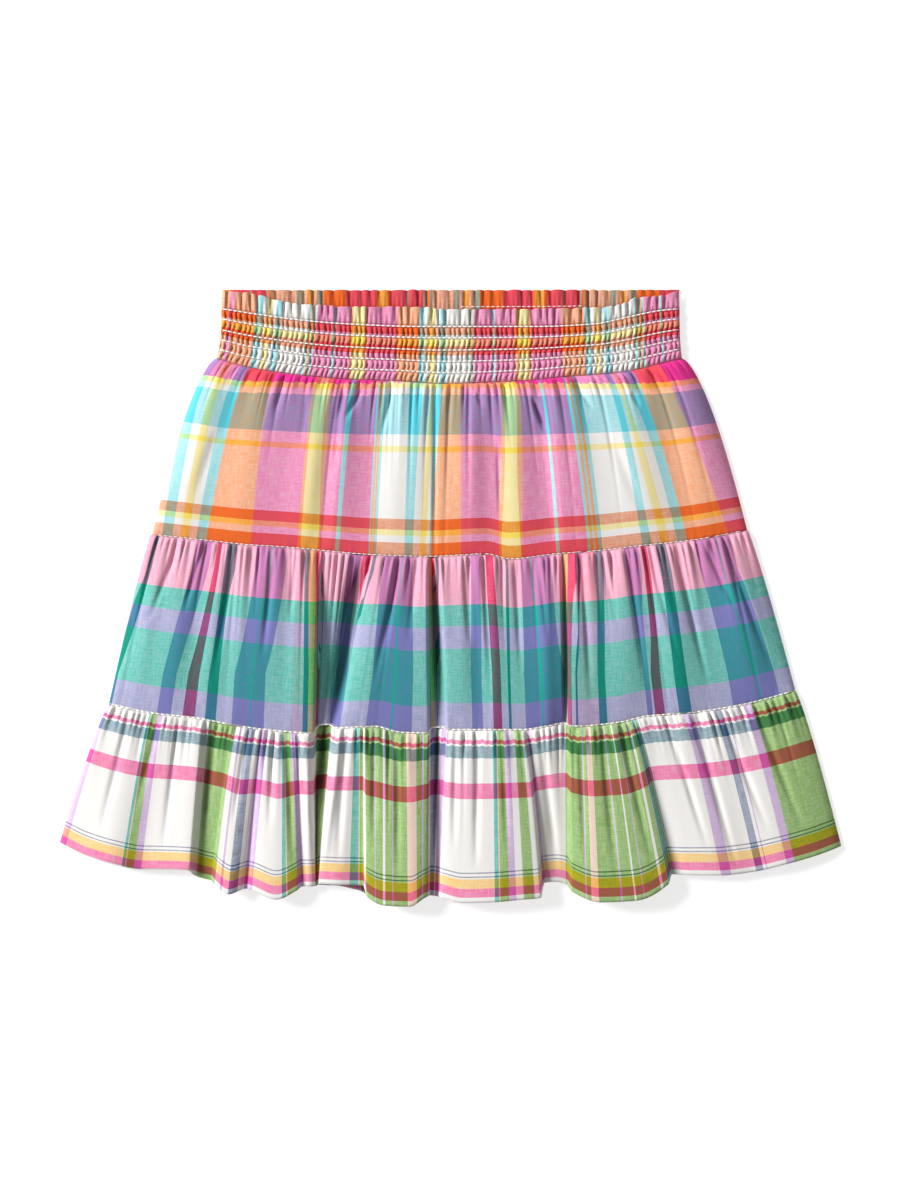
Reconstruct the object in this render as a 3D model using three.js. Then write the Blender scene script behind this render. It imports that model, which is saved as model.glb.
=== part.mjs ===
// Tiered ruffle skirt laid flat: shirred waistband, upper tier, middle tier and gathered hem tier.
// Millimetres, +Z up. The front panels lie on the back panels, the waist points to +Y, the hem to -Y.
// The origin is under the middle of the skirt, on the surface that it lies on.
import * as THREE from "three";

// Cloth and how it lies
const CLOTH = 1.2; // thickness of each wall
const SEAM_GAP = 0.3; // between pieces that meet at a seam
const FRONT_LAY = 3.1; // lowest height of the front panels' outer face
const BAND_UNDERSIDE = CLOTH + SEAM_GAP; // the front waistband's plain inside, just over the back one

// Waistband
const BAND_RIDGES = 60; // puckers across the front, between the elastic rows
const BAND_PUFF = 1.5; // height of a pucker
const BAND_LAY = 0.3; // height of the band's valleys over the front panels' lowest height
const HEADER_FRILL = 2.2; // height of the header's waves, one to every two puckers
const ELASTIC_ROWS = [0, 0.2, 0.42, 0.62, 0.82]; // from the first elastic row to the waist seam
const BACK_HEADER_WAVES = 24;
const BACK_HEADER_FRILL = 2.4;
const BACK_HEADER_Y = 181.5; // the back header's straight top edge
const BACK_COLUMNS = 40;

// Rows down a tier, close together at the gathers
const TIER_ROWS = [0, 0.04, 0.12, 0.24, 0.42, 0.62, 0.82, 1];

function named(columns, rows) {
  return rows.map((row) => Object.fromEntries(columns.map((column, i) => [column, row[i]])));
}

// Seams and edges that cross the front, left to right; rise is the height over FRONT_LAY.
const HEADER_EDGE = named(["x", "y"], [
  [-135, 181.5], [-112.5, 178.5], [-100.5, 175.5], [-85.5, 173], [-60, 172], [-17.5, 171.5],
  [-6, 170.2], [67.5, 170.5], [89.5, 171.5], [104, 174.5], [110.5, 177.5], [123.5, 178], [135, 181.5],
]);
const FIRST_ELASTIC = named(["x", "y"], [
  [-135, 170], [-112.5, 166.5], [-85.5, 163], [-60, 161], [-17.5, 159.5], [50.5, 159.5],
  [84.5, 161], [104, 165], [124, 169], [135, 170],
]);
const WAIST_SEAM = named(["x", "y", "rise"], [
  [-138, 141, 0], [-118.5, 135.5, 0.4], [-84, 130.5, 0.6], [-60, 128.5, 0.6], [-30.5, 127.5, 0.6],
  [-6, 126, 0.6], [40.5, 127.5, 0.6], [67.5, 130, 0.6], [99.5, 132.5, 0.5], [136.5, 141, 0],
]);
const MIDDLE_SEAM = named(["x", "y", "rise"], [
  [-176, 37, 0], [-143.5, 33.5, 0.8], [-120, 31, 1.2], [-96.5, 29.5, 1.4], [-73, 27.3, 1], [-45.5, 25, 1.2],
  [-12, 24, 1.6], [21, 25.5, 1.8], [35, 22.5, 1.4], [61.5, 25.5, 1.6], [88, 27.5, 1.6], [113, 30.5, 1.4],
  [141.5, 33.5, 0.8], [175, 39.5, 0],
]);
const HEM_SEAM = named(["x", "y", "rise"], [
  [-201.5, -63, 0], [-174.5, -68.5, 2], [-150.5, -71, 3], [-127, -75.5, 3.6], [-99, -79, 3.8], [-81, -80, 3.2],
  [-79, -75.5, 0.2], [-70, -75, 0.2], [-67.5, -77, 2.8], [-44.5, -76, 3.6], [-30, -79.5, 3.8],
  [-13.5, -80, 3.4], [-11.5, -77, 1], [-3, -76.5, 1], [-1.5, -78, 3.2], [42, -78, 4], [56, -76, 4],
  [68, -74, 1.2], [71, -76, 3.8], [97, -74, 3.8], [116, -70, 3], [141.5, -68, 2.6], [171, -63.5, 1.6],
  [203.5, -55, 0],
]);
const BACK_WAIST = named(["x", "y"], [[-138, 141], [-60, 138], [60, 138], [136.5, 141]]);
const BACK_MIDDLE = named(["x", "y"], [[-176, 37], [-90, 35], [90, 35], [175, 39.5]]);
const BACK_HEM_SEAM = named(["x", "y"], [[-201.5, -63], [-110, -70], [100, -70], [203.5, -55]]);
const BACK_HEM = named(["x", "y"], [
  [-230.5, -144.5], [-195, -155.5], [-148, -161.5], [-112.5, -167], [-89, -168], [-78, -169.5], [-66.5, -170],
  [-59.5, -171.5], [-52, -173.5], [-46, -178], [-39, -179], [-28, -175.5], [-12, -174], [48, -166],
  [62, -163], [70.5, -165], [112, -167], [130.5, -161], [176.5, -159], [230.5, -146.5],
]);

// Folds of the front tiers: where a crest or valley starts on the seam above and ends below it.
// lift is the cloth's rise between its two seams.
const UPPER_FOLDS = named(["top", "low", "lift"], [
  [-138, -176, 0], [-129, -160, 3], [-118.5, -145, 1.6], [-103.5, -124, 3.4], [-89, -103.5, 2.4],
  [-74, -86, 4], [-63.5, -76, 2], [-58, -69.5, 3.6], [-43, -50, 1.6], [-30, -32.5, 4], [-6, -11, 2.8],
  [11.5, 11.5, 4], [19, 23.5, 2], [32, 41, 4.2], [46.5, 60, 1.4], [56, 68, 4.2], [79.5, 97, 3],
  [97, 120.5, 4.2], [112, 141.5, 2], [125, 158, 3.6], [136.5, 175, 0],
]);
const MIDDLE_FOLDS = named(["top", "low", "lift"], [
  [-177, -201.5, 0], [-164.5, -184.5, 3], [-150, -168, 4.5], [-140.5, -157, 3], [-133.5, -145, 5],
  [-124, -132.5, 4], [-111, -117, 5.5], [-97.5, -100.5, 4.6], [-86, -89, 6], [-78, -81, 5],
  [-75.5, -79, 0.6], [-65, -74.5, 0.4], [-50, -67, 0.6], [-46, -62.5, 4], [-38, -53.5, 5.4],
  [-27, -39, 5], [-15, -13.5, 5.4], [-12.5, -11.5, 1.6], [-9, -3, 0.8], [-6, -1.5, 4.2], [4.5, 7, 5.4],
  [14, 17.5, 3.8], [29, 32.5, 5.6], [47, 51.5, 5], [63.5, 66, 6], [66, 68, 1.2], [69, 71, 5.4],
  [82.5, 88, 4.6], [95.5, 106, 5.8], [109.5, 122.5, 4], [123.5, 141.5, 5], [141.5, 160, 3],
  [159, 181.5, 4], [175.5, 203.5, 0],
]);
// The hem tier's folds end on the free hem: hemY is its place and rise its height there.
const HEM_FOLDS = named(["top", "low", "hemY", "rise"], [
  [-201.5, -230.5, -144.5, 0], [-194, -216, -151.5, 3], [-181.5, -199.5, -156.5, 5.5],
  [-168.5, -181.5, -160, 3.5], [-156, -166.5, -160, 5.5], [-146, -153.5, -160.5, 7.5],
  [-143.5, -151, -163.5, 1.2], [-135, -145.5, -165.5, 0.6], [-128.5, -141, -166.5, 1],
  [-126, -138.5, -169, 6.5], [-119, -130.5, -174.5, 8], [-112.5, -123, -172, 5], [-110.5, -120.5, -171.5, 2],
  [-107.5, -117.5, -172, 6], [-100.5, -102.5, -177.5, 8.5], [-94.5, -90, -172, 7], [-91, -87, -170, 3.5],
  [-84, -83, -170, 4.5], [-81, -80, -170, 3.5], [-79, -78.5, -170, 0], [-70, -76.5, -169, 0],
  [-67.5, -74.5, -168.5, 4], [-59.5, -63.5, -169, 5.5], [-52, -51.5, -169.5, 3], [-50, -49, -176, 7.5],
  [-38.5, -38.5, -181, 9.5], [-25, -24, -181.5, 10], [-13.5, -14, -176, 7.5], [-11.5, -12, -175.5, 0.8],
  [-3, -8, -176, 0.8], [-1.5, -5.5, -176.5, 6.5], [8.5, 7, -179.5, 9], [23.5, 24.5, -179, 10],
  [36.5, 42, -177.5, 9], [44, 53, -176.5, 8], [46, 55.5, -168, 1.2], [57.5, 62, -167.5, 2],
  [68, 68.5, -169, 1.2], [71, 71.5, -173, 7], [82.5, 88, -179, 10], [94, 109, -178, 10],
  [106, 128, -168.5, 7.5], [108.5, 130.5, -163, 1.6], [120.5, 142.5, -163.5, 3.5], [135.5, 158, -163.5, 5],
  [153, 178, -161.5, 3.5], [171, 197, -157, 5], [188.5, 215, -152, 3.5], [203.5, 230.5, -146.5, 0],
]);

// The three tiers. flare bends the panel lines out below the gathers, swell shapes how the height changes
// down the panel, and gatherStep is half the distance between two gathers along the seam.
const TIERS = [
  {
    name: "tier_1", colour: 0xf08fb4, folds: UPPER_FOLDS, above: WAIST_SEAM, below: MIDDLE_SEAM,
    backAbove: BACK_WAIST, backBelow: BACK_MIDDLE, flare: 0.65, swell: 1, gatherStep: 4.6, gatherHeight: 1.3,
  },
  {
    name: "tier_2", colour: 0x4fb3a8, folds: MIDDLE_FOLDS, above: MIDDLE_SEAM, below: HEM_SEAM,
    backAbove: BACK_MIDDLE, backBelow: BACK_HEM_SEAM, flare: 0.9, swell: 1, gatherStep: 3.5, gatherHeight: 1.6,
  },
  {
    name: "tier_3", colour: 0xe8eee0, folds: HEM_FOLDS, above: HEM_SEAM, below: null,
    backAbove: BACK_HEM_SEAM, backBelow: BACK_HEM, flare: 0.85, swell: 0.6, gatherStep: 3.4, gatherHeight: 1.6,
  },
];

// A smooth curve through a table's rows that never overshoots them.
function along(rows, from, to) {
  const x = rows.map((row) => row[from]);
  const y = rows.map((row) => row[to]);
  const slope = x.slice(1).map((next, i) => (y[i + 1] - y[i]) / (next - x[i]));
  const tangent = x.map((_, i) => {
    const before = slope[Math.max(i - 1, 0)];
    const after = slope[Math.min(i, slope.length - 1)];
    return before * after > 0 ? (2 * before * after) / (before + after) : 0;
  });
  return (at) => {
    let i = 0;
    while (i < slope.length - 1 && at > x[i + 1]) i++;
    const width = x[i + 1] - x[i];
    const t = THREE.MathUtils.clamp((at - x[i]) / width, 0, 1);
    const bend = width * t * (1 - t) * (tangent[i] * (1 - t) - tangent[i + 1] * t);
    return THREE.MathUtils.lerp(y[i], y[i + 1], t * t * (3 - 2 * t)) + bend;
  };
}

// Half the seam gap, measured along Y, that leaves the whole gap square to a seam that runs aslant.
function halfGap(seamY) {
  return (x) => (SEAM_GAP / 2) * Math.hypot(1, (seamY(x + 1) - seamY(x - 1)) / 2);
}

// A repeatable spread of values from 0 to 1.
function spread(n) {
  return THREE.MathUtils.euclideanModulo(Math.sin(n * 12.9898) * 43758.5453, 1);
}

// Places along a seam: each fold's own, and as many between two of them as the gathers need.
function seamPlaces(folds, step) {
  const places = [folds[0].top];
  for (const { top } of folds.slice(1)) {
    const last = places.at(-1);
    const parts = Math.max(1, Math.round((top - last) / step));
    for (let i = 1; i <= parts; i++) places.push(THREE.MathUtils.lerp(last, top, i / parts));
  }
  return places;
}

function evenPlaces(left, right, parts) {
  return Array.from({ length: parts + 1 }, (_, i) => THREE.MathUtils.lerp(left, right, i / parts));
}

// The inside of a row of cloth: the same row, one wall thickness in, square to the cloth across the folds.
function insideRow(row) {
  const normals = row.slice(1).map((point, i) => {
    const across = new THREE.Vector2(point.x - row[i].x, point.z - row[i].z).normalize();
    return new THREE.Vector2(-across.y, across.x);
  });
  return row.map((point, i) => {
    const before = normals[Math.max(i - 1, 0)];
    const after = normals[Math.min(i, normals.length - 1)];
    const out = before.clone().add(after).normalize();
    const depth = CLOTH / Math.max(out.dot(before), 0.7);
    const shift = i === 0 || i === row.length - 1 ? new THREE.Vector2(0, CLOTH) : out.multiplyScalar(depth);
    return new THREE.Vector3(point.x - shift.x, point.y, point.z - shift.y);
  });
}

// Triangles between two chains of points that run the same way, whatever number of points each has.
function bridge(upper, lower, faces) {
  let i = 0;
  let j = 0;
  while (i < upper.length - 1 || j < lower.length - 1) {
    const upperNext = (i + 1) / (upper.length - 1);
    const lowerNext = (j + 1) / (lower.length - 1);
    if (i < upper.length - 1 && upperNext <= lowerNext) faces.push(upper[i + 1], upper[i], lower[j]), i++;
    else faces.push(lower[j], lower[j + 1], upper[i]), j++;
  }
}

// A closed wall of cloth from an outer and an inner sheet. Each is a list of rows from the waist to the hem,
// with the same number of points from left to right.
function wall(outer, inner) {
  const points = [...outer.flat(), ...inner.flat()];
  const columns = outer[0].length;
  const index = (sheet, r, c) => (sheet === outer ? 0 : outer.length * columns) + r * columns + c;
  const faces = [];
  for (const sheet of [outer, inner]) {
    for (let r = 0; r < sheet.length - 1; r++) {
      for (let c = 0; c < columns - 1; c++) {
        const [a, b] = [index(sheet, r, c), index(sheet, r, c + 1)];
        const [d, e] = [index(sheet, r + 1, c), index(sheet, r + 1, c + 1)];
        if (sheet === outer) faces.push(a, d, e, a, e, b);
        else faces.push(a, e, d, a, b, e);
      }
    }
  }
  const across = (sheet, r) => Array.from({ length: columns }, (_, c) => index(sheet, r, c));
  const down = (sheet, c) => sheet.map((_, r) => index(sheet, r, c));
  bridge(across(inner, 0), across(outer, 0), faces);
  bridge(across(outer, outer.length - 1), across(inner, inner.length - 1), faces);
  bridge(down(outer, 0), down(inner, 0), faces);
  bridge(down(inner, columns - 1), down(outer, columns - 1), faces);
  const geometry = new THREE.BufferGeometry().setFromPoints(points).setIndex(faces);
  geometry.computeVertexNormals();
  return geometry;
}

function clothPiece(name, colour, geometry) {
  const material = new THREE.MeshStandardMaterial({ color: colour, roughness: 0.9, metalness: 0 });
  const mesh = new THREE.Mesh(geometry, material);
  mesh.name = name;
  return mesh;
}

// One point of a tier: down a panel line from the seam above to the seam or hem below.
function linePoint(line, down, flare) {
  const x = THREE.MathUtils.lerp(line.topX, line.lowX, down ** flare);
  const y = THREE.MathUtils.lerp(line.topY, line.lowY, down);
  return [x, y];
}

function frontTier(tier) {
  const places = seamPlaces(tier.folds, tier.gatherStep);
  const lowX = along(tier.folds, "top", "low");
  const topY = along(tier.above, "x", "y");
  const topRise = along(tier.above, "x", "rise");
  const lift = tier.below ? along(tier.folds, "top", "lift") : () => 0;
  const lowY = tier.below ? along(tier.below, "x", "y") : along(tier.folds, "low", "hemY");
  const lowRise = tier.below ? along(tier.below, "x", "rise") : along(tier.folds, "low", "rise");
  const lines = places.map((top, i) => {
    const room = Math.min(top - (places[i - 1] ?? top), (places[i + 1] ?? top) - top) / tier.gatherStep;
    const low = lowX(top);
    return {
      topX: top,
      lowX: low,
      topY: topY(top) - halfGap(topY)(top),
      lowY: lowY(low) + (tier.below ? halfGap(lowY)(low) : 0),
      topRise: topRise(top),
      lowRise: lowRise(low),
      lift: lift(top),
      gather: i % 2 ? tier.gatherHeight * THREE.MathUtils.clamp(room, 0, 1) * (0.7 + 0.5 * spread(i)) : 0,
      reach: 0.16 + 0.4 * spread(i + 7),
    };
  });
  const outer = TIER_ROWS.map((down) =>
    lines.map((line) => {
      const [x, y] = linePoint(line, down, tier.flare);
      const base = THREE.MathUtils.lerp(line.topRise, line.lowRise, down ** tier.swell);
      const fade = down > 0 ? Math.exp(-((down / line.reach) ** 2)) : 0;
      const bulge = Math.max(Math.sin(Math.PI * down), 0) ** 0.7;
      return new THREE.Vector3(x, y, FRONT_LAY + base + line.lift * bulge + line.gather * fade);
    }),
  );
  return clothPiece(tier.name + "_front", tier.colour, wall(outer, outer.map(insideRow)));
}

function backTier(tier) {
  const topEdge = evenPlaces(tier.folds[0].top, tier.folds.at(-1).top, BACK_COLUMNS);
  const lowEdge = evenPlaces(tier.folds[0].low, tier.folds.at(-1).low, BACK_COLUMNS);
  const topY = along(tier.backAbove, "x", "y");
  const lowY = along(tier.backBelow, "x", "y");
  const lowGap = tier.below ? halfGap(lowY) : () => 0;
  const sheet = (height) =>
    TIER_ROWS.map((down) =>
      topEdge.map((top, i) => {
        const low = lowEdge[i];
        const line = { topX: top, lowX: low, topY: topY(top) - halfGap(topY)(top), lowY: lowY(low) + lowGap(low) };
        return new THREE.Vector3(...linePoint(line, down, tier.flare), height);
      }),
    );
  return clothPiece(tier.name + "_back", tier.colour, wall(sheet(CLOTH), sheet(0)));
}

// The shirred band: puffs between the elastic rows, set half a pitch over from row to row, and a frilled header.
function frontBand() {
  const headerY = along(HEADER_EDGE, "x", "y");
  const elasticY = along(FIRST_ELASTIC, "x", "y");
  const seamY = along(WAIST_SEAM, "x", "y");
  const left = HEADER_EDGE[0].x;
  const right = HEADER_EDGE.at(-1).x;
  const spreadToSeam = (x) => THREE.MathUtils.mapLinear(x, left, right, WAIST_SEAM[0].x, WAIST_SEAM.at(-1).x);
  const columns = evenPlaces(left, right, 2 * BAND_RIDGES);
  const rows = [];
  const addRow = (yAt, heightAt) =>
    rows.push(columns.map((x, c) => new THREE.Vector3(...yAt(x), FRONT_LAY + BAND_LAY + heightAt(c))));
  const isEdge = (c) => c === 0 || c === columns.length - 1;
  const frill = (c) => (isEdge(c) ? 0 : HEADER_FRILL * (0.5 - 0.5 * Math.cos((Math.PI * c) / 2)));
  for (const [down, share] of [[0, 1], [0.5, 0.8]]) {
    addRow((x) => [x, THREE.MathUtils.lerp(headerY(x), elasticY(x), down)], (c) => share * frill(c));
  }
  ELASTIC_ROWS.forEach((row, k) => {
    const half = ((ELASTIC_ROWS[k + 1] ?? 1) + row) / 2;
    for (const [down, puff] of [[row, 0.15], [half, 1]]) {
      const place = (x) => [
        THREE.MathUtils.lerp(x, spreadToSeam(x), down ** 3),
        THREE.MathUtils.lerp(elasticY(x), seamY(spreadToSeam(x)) + SEAM_GAP / 2, down),
      ];
      addRow(place, (c) => (isEdge(c) ? 0 : puff * BAND_PUFF * ((c + k) % 2)));
    }
  });
  addRow((x) => [spreadToSeam(x), seamY(spreadToSeam(x)) + SEAM_GAP / 2], () => 0);
  const inside = [rows[0], rows.at(-1)].map((row) => row.map(({ x, y }) => new THREE.Vector3(x, y, BAND_UNDERSIDE)));
  return clothPiece("waistband_front", 0xf4a25e, wall(rows, inside));
}

// The back band is plain where the front one lies on it and frilled where its header shows above it.
function backBand() {
  const headerY = along(HEADER_EDGE, "x", "y");
  const waistY = along(BACK_WAIST, "x", "y");
  const columns = evenPlaces(HEADER_EDGE[0].x, HEADER_EDGE.at(-1).x, 2 * BACK_HEADER_WAVES);
  const row = (share, height) =>
    columns.map((x, c) => {
      const showing = Math.max(BACK_HEADER_Y - headerY(x) - 2 * SEAM_GAP, 1);
      const wave = (c % 2) * Math.min(showing / 8, 1) * BACK_HEADER_FRILL * height;
      return new THREE.Vector3(x, BACK_HEADER_Y - share * showing, CLOTH + wave);
    });
  const seam = columns.map((x) => {
    const wide = THREE.MathUtils.mapLinear(x, columns[0], columns.at(-1), BACK_WAIST[0].x, BACK_WAIST.at(-1).x);
    return new THREE.Vector3(wide, waistY(wide) + SEAM_GAP / 2, CLOTH);
  });
  const rows = [row(0, 1), row(0.55, 0.7), row(1, 0), seam];
  const underside = [rows[0], seam].map((edge) => edge.map(({ x, y }) => new THREE.Vector3(x, y, 0)));
  return clothPiece("waistband_back", 0xe8643c, wall(rows, underside));
}

const skirt = new THREE.Group();
skirt.add(frontBand(), backBand());
for (const tier of TIERS) skirt.add(frontTier(tier), backTier(tier));
export default skirt;
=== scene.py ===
import bpy
import bmesh
import math
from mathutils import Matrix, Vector


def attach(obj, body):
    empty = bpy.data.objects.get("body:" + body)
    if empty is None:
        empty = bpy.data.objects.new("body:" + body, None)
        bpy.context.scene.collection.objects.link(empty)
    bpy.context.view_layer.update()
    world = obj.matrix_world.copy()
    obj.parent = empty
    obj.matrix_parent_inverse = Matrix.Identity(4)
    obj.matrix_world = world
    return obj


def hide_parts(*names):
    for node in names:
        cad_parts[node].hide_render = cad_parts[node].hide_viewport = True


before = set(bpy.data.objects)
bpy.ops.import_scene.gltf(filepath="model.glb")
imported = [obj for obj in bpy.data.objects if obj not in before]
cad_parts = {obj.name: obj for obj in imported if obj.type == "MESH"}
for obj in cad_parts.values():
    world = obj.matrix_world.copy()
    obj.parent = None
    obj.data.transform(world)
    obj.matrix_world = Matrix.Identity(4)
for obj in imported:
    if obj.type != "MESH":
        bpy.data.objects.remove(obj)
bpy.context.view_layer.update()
mm = 0.001

# The skirt lies flat and is looked at from straight above.
view = {"height": 2.4, "middle": (-0.0003, -0.0015), "covers": 0.708}


def makeCamera():
    camera = bpy.data.cameras.new("overheadCamera")
    camera.sensor_fit = "AUTO"
    camera.lens = camera.sensor_width * view["height"] / view["covers"]
    holder = bpy.data.objects.new("overheadCamera", camera)
    bpy.context.collection.objects.link(holder)
    holder.location = (*view["middle"], view["height"])
    bpy.context.scene.camera = holder


makeCamera()
print("camera ready")


def straight(rows):
    # straight lines through (place, value) rows, held at both ends
    def read(at):
        if at <= rows[0][0]:
            return rows[0][1]
        for (x0, y0), (x1, y1) in zip(rows, rows[1:]):
            if at <= x1:
                return y0 + (y1 - y0) * (at - x0) / (x1 - x0)
        return rows[-1][1]

    return read


def smooth(rows):
    # a smooth curve through (place, value) rows that never overshoots them
    slopes = [(y1 - y0) / (x1 - x0) for (x0, y0), (x1, y1) in zip(rows, rows[1:])]
    bends = []
    for i in range(len(rows)):
        before = slopes[max(i - 1, 0)]
        after = slopes[min(i, len(slopes) - 1)]
        bends.append(2 * before * after / (before + after) if before * after > 0 else 0)

    def read(at):
        i = 0
        while i < len(slopes) - 1 and at > rows[i + 1][0]:
            i += 1
        width = rows[i + 1][0] - rows[i][0]
        t = min(max((at - rows[i][0]) / width, 0), 1)
        bow = width * t * (1 - t) * (bends[i] * (1 - t) - bends[i + 1] * t)
        return mix(rows[i][1], rows[i + 1][1], t * t * (3 - 2 * t)) + bow

    return read


def mix(a, b, t):
    return a + (b - a) * t


def clamp(value):
    return min(max(value, 0.0), 1.0)


def spread(n):
    # a repeatable scatter of values from 0 to 1
    return math.sin(n * 12.9898 + 4.1) * 43758.5453 % 1


def gathersAt(x, down, scale):
    # soft ridges that start at a seam, uneven in place, height, length and width; all in millimetres
    pitch = scale["pitch"]
    cell = math.floor(x / pitch)
    height = 0
    for i in (cell - 1, cell, cell + 1):
        seed = i + scale["seed"]
        length = mix(*scale["length"], spread(seed) ** 2)
        centre = (i + 0.5 + 0.55 * (spread(seed + 0.3) - 0.5)) * pitch
        centre += (spread(seed + 0.5) - 0.5) * 0.06 * down
        width = pitch * mix(0.26, 0.46, spread(seed + 0.7)) * (1 + 0.35 * clamp(down / length))
        tall = scale["height"] * mix(0.45, 1.15, spread(seed + 0.9))
        height += tall * math.exp(-((x - centre) / width) ** 2 - (down / length) ** 1.4)
        nip = (i + 0.35 * (spread(seed + 0.2) - 0.5)) * pitch  # the sharp crease between two gathers
        deep = scale["nip"] * mix(0.2, 1.2, spread(seed + 0.6))
        reach = length * mix(0.5, 1.6, spread(seed + 0.4))
        height -= deep * math.exp(-((x - nip) / scale["sharp"]) ** 2 - (down / reach) ** 1.6)
    return height


def creaseAt(x, y, creases):
    # listed folds: a soft trough (or ridge, where the depth is negative) along a short line
    height = 0
    for x0, y0, x1, y1, depth, width in creases:
        dx, dy = x1 - x0, y1 - y0
        reach = (dx * dx + dy * dy) ** 0.5
        t = ((x - x0) * dx + (y - y0) * dy) / reach ** 2
        if -0.15 < t < 1.15:
            away = abs((x - x0) * dy - (y - y0) * dx) / reach
            if away < 3.5 * width:
                fade = clamp((t + 0.15) / 0.3) * clamp((1.15 - t) / 0.5)
                height -= depth * fade * math.exp(-((away / width) ** 2))
    return height


def clothSheet(name, across, down, place, thickness=0.45):
    # a fine sheet: place(column, row) gives the point and the cloth's own position there, both in
    # millimetres, and the painted shade there, 1 out on the flat and less in a crease
    mesh = bmesh.new()
    bmesh.ops.create_grid(mesh, x_segments=across, y_segments=down, size=0.5)
    woven = mesh.loops.layers.uv.new("cloth")
    # foldShade carries painted shade: the cloth's colour is drawn darker in creases
    shade = mesh.verts.layers.float.new("foldShade")
    clothAt = {}
    for vertex in mesh.verts:
        column, row = round((vertex.co.x + 0.5) * across), round((0.5 - vertex.co.y) * down)
        point, clothAt[vertex], vertex[shade] = place(column, row)
        vertex.co = Vector(point) * mm
    for face in mesh.faces:
        face.smooth = True
        for loop in face.loops:
            s, t = clothAt[loop.vert]
            loop[woven].uv = (s * mm, t * mm)
    made = bpy.data.meshes.new(name)
    mesh.to_mesh(made)
    mesh.free()
    piece = bpy.data.objects.new(name, made)
    bpy.context.collection.objects.link(piece)
    wall = piece.modifiers.new("clothThickness", "SOLIDIFY")
    wall.thickness = thickness * mm
    wall.offset = -1
    return piece


# Yarn colours as parts of weave["full"], brighter than the cloth looks in this light; where two yarns
# cross, the cloth has the even mix of warp and weft.
yarns = {
    "pink": (238, 66, 148), "peach": (260, 122, 50), "white": (247, 244, 240), "cyan": (96, 212, 226),
    "yellow": (255, 226, 100), "orangeRed": (226, 96, 40), "magenta": (242, 40, 150), "blue": (98, 202, 220),
    "ground": (235, 226, 242), "pinkWeft": (260, 130, 160), "tealWeft": (0, 168, 130),
    "lavenderWeft": (118, 128, 182), "slateWarp": (134, 124, 194), "maroon": (170, 20, 62),
    "darkTeal": (0, 112, 114), "brightTeal": (0, 180, 150), "crimson": (225, 40, 80),
    "palePink": (245, 200, 215), "navy": (60, 70, 120), "rose": (246, 44, 126), "slate": (60, 108, 130),
    "amber": (258, 182, 56), "green": (74, 144, 14), "lilac": (184, 135, 208), "steel": (84, 100, 138),
    "teal": (10, 172, 145), "cream": (248, 196, 165), "purple": (130, 80, 155), "grey": (88, 96, 122),
}

# Setts: (yarn, where it ends), in millimetres across one repeat, or down a panel from its top.
warmWarp = [
    ("cyan", 5.6), ("white", 10.3), ("yellow", 15.6), ("white", 20.4), ("cyan", 26), ("peach", 48.4),
    ("pink", 77.9), ("peach", 80.2), ("yellow", 88.5), ("peach", 92), ("pink", 108), ("cyan", 109.7),
    ("pink", 124.5), ("cyan", 126.3), ("peach", 128), ("cyan", 129.3), ("peach", 131), ("cyan", 133.3),
    ("white", 154),
]
warmWeft = [
    ("magenta", 6.5), ("yellow", 10), ("white", 13.5), ("blue", 35.3), ("white", 41.8), ("yellow", 44.8),
    ("white", 82), ("orangeRed", 88), ("yellow", 91.5), ("white", 95.5), ("orangeRed", 103.2),
]
bandWeft = [
    ("white", 12), ("orangeRed", 16.7), ("white", 19), ("yellow", 23.3), ("orangeRed", 28.6),
    ("white", 60),
]
backHeaderWeft = [("orangeRed", 60)]
coolWarp = [
    ("slateWarp", 7.7), ("ground", 12.4), ("maroon", 17.7), ("ground", 25.4), ("darkTeal", 30.7),
    ("ground", 59), ("slateWarp", 70.2), ("brightTeal", 71.4), ("slateWarp", 82.6), ("ground", 93.8),
    ("palePink", 102), ("darkTeal", 105), ("yellow", 110.3), ("crimson", 112), ("ground", 115.6),
    ("navy", 116.8), ("palePink", 126.9), ("darkTeal", 131.6), ("ground", 155.8),
]
coolWeft = [
    ("pinkWeft", 28.3), ("tealWeft", 40.4), ("lavenderWeft", 53.1), ("tealWeft", 84.1),
    ("lavenderWeft", 99), ("white", 103.5),
]
lightWarp = [
    ("teal", 3), ("cream", 4.1), ("green", 7.4), ("white", 8.6), ("green", 15.1), ("lilac", 16.2),
    ("green", 20.6), ("white", 21.9), ("green", 26.9), ("lilac", 28), ("green", 37.2), ("cream", 42.5),
    ("green", 45.3), ("lilac", 46.7), ("green", 77.9), ("lilac", 83.8), ("white", 94.4), ("lilac", 95.6),
    ("white", 97.9), ("steel", 102), ("white", 115.6), ("lilac", 121.5), ("white", 146.3), ("teal", 148.7),
    ("cream", 149.9), ("green", 154.6), ("lilac", 158.1), ("purple", 158.7), ("white", 190),
]
lightWeft = [
    ("white", 5.9), ("rose", 7.9), ("white", 9.1), ("slate", 15.7), ("white", 29.7), ("rose", 38.2),
    ("white", 78.6), ("grey", 79.3), ("white", 80.6), ("grey", 81.3), ("white", 82.3), ("amber", 87.4),
    ("rose", 92.4), ("white", 95.4),
]

weave = {  # widths, lengths and depths in millimetres
    "full": 273, "slub": 0.42, "slubWide": 0.7, "slubLong": 7, "yarnPitch": 0.42, "yarnBump": 0.35,
    "yarnDepth": 0.1, "gamma": 2.2, "creaseShadeDeepening": 0.5, "roughness": 0.88, "specular": 0.2,
    "sheen": 0.12, "sheenRoughness": 0.5,
}


def mathNode(tree, operation, first, second=None):
    node = tree.nodes.new("ShaderNodeMath")
    node.operation = operation
    for socket, value in zip(node.inputs, (first, second)):
        if isinstance(value, (int, float)):
            socket.default_value = value
        elif value is not None:
            tree.links.new(value, socket)
    return node.outputs[0]


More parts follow.
